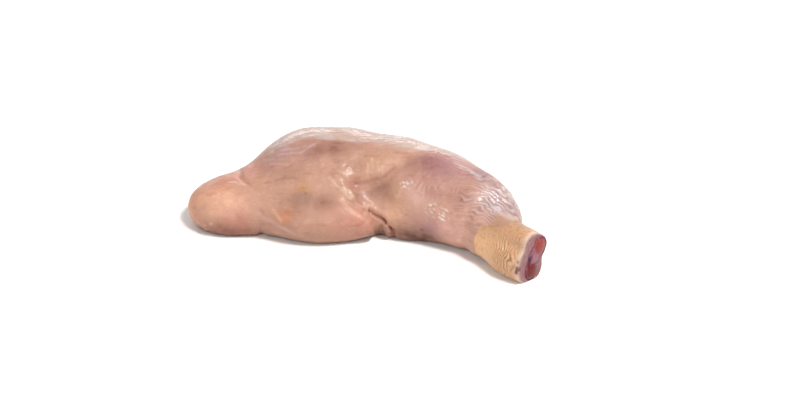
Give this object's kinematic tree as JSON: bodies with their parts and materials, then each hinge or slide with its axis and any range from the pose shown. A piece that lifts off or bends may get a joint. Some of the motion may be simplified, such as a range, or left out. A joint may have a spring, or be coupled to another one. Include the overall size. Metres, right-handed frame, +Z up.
{
  "type": "raw chicken leg",
  "caption": "Raw chicken leg with thigh, drumstick and a yellow scaly shank, skin on, cut through at the hock and lying skin side up.",
  "frame": {"origin": "on the resting surface, under the middle of the leg's bounding box", "axes": "+X from the thigh's tongue towards the cut hock, -Y the side where the knee folds, +Z up from the resting surface"},
  "size_m": [0.2082, 0.1312, 0.0469],
  "materials": {
    "skin": "moist raw skin, satin with wet highlights",
    "bone": "moist pink and purple gristle and bone",
    "marrow_bright": "wet bright red",
    "marrow_dark": "wet dark red"
  },
  "bodies": {
    "root": {"leg": "skin", "shin_bone": "bone", "marrow_upper": "marrow_bright", "marrow_lower": "marrow_dark"}
  },
  "joints": []
}
